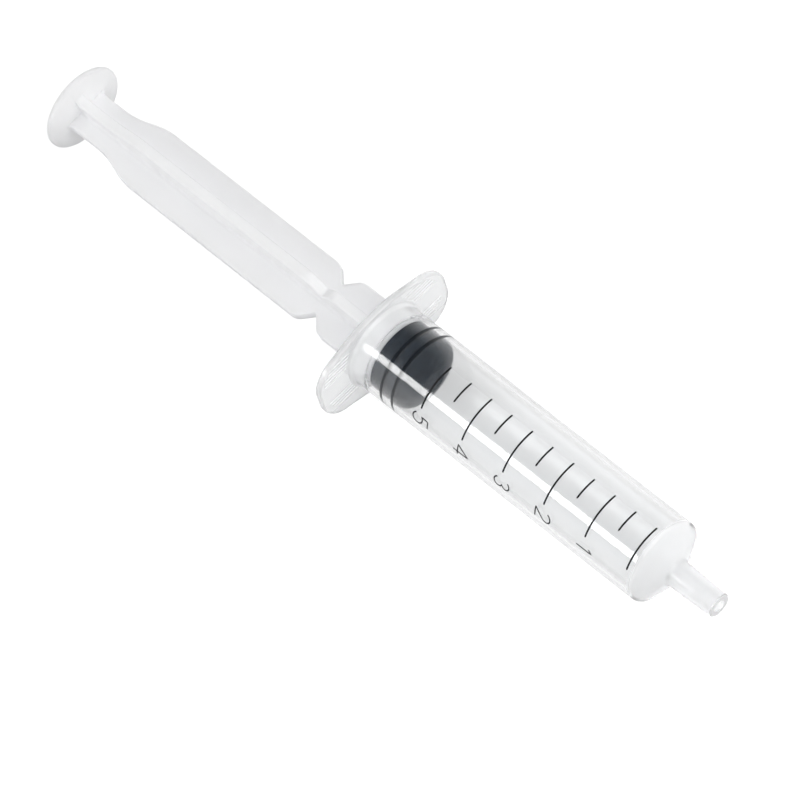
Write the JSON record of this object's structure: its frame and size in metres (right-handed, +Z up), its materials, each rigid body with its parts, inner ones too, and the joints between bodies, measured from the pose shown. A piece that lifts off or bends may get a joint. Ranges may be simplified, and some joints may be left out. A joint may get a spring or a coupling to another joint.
{
  "type": "dispensing syringe",
  "caption": "Small dispensing syringe: clear barrel with tapered slip nozzle and winged finger flange, dark rubber gasket, and sliding cross-finned plunger rod with a round thumb rest.",
  "frame": {"origin": "centre of the nozzle's mouth, on the syringe's axis", "axes": "+X along the axis and out of the nozzle, +Y along a wing of the finger flange, +Z up with the syringe lying on the flange's straight side"},
  "size_m": [0.1346, 0.0264, 0.0162],
  "materials": {
    "clear_plastic": "clear glossy polypropylene",
    "rubber": "smooth charcoal rubber",
    "milky_plastic": "translucent milky polypropylene, satin"
  },
  "bodies": {
    "barrel": {"barrel": "clear_plastic"},
    "gasket": {"gasket": "rubber"},
    "rod": {"plunger_rod": "milky_plastic"}
  },
  "joints": [
    {"name": "plunger_slide", "type": "slide", "parent": "barrel", "child": "gasket", "axis": [1, 0, 0], "range_m": [-0.0029, 0.0483]},
    {"name": "rod_turn", "type": "hinge", "parent": "gasket", "child": "rod", "pos_m": [-0.0656, 0, 0], "axis": [1, 0, 0], "continuous": true}
  ]
}
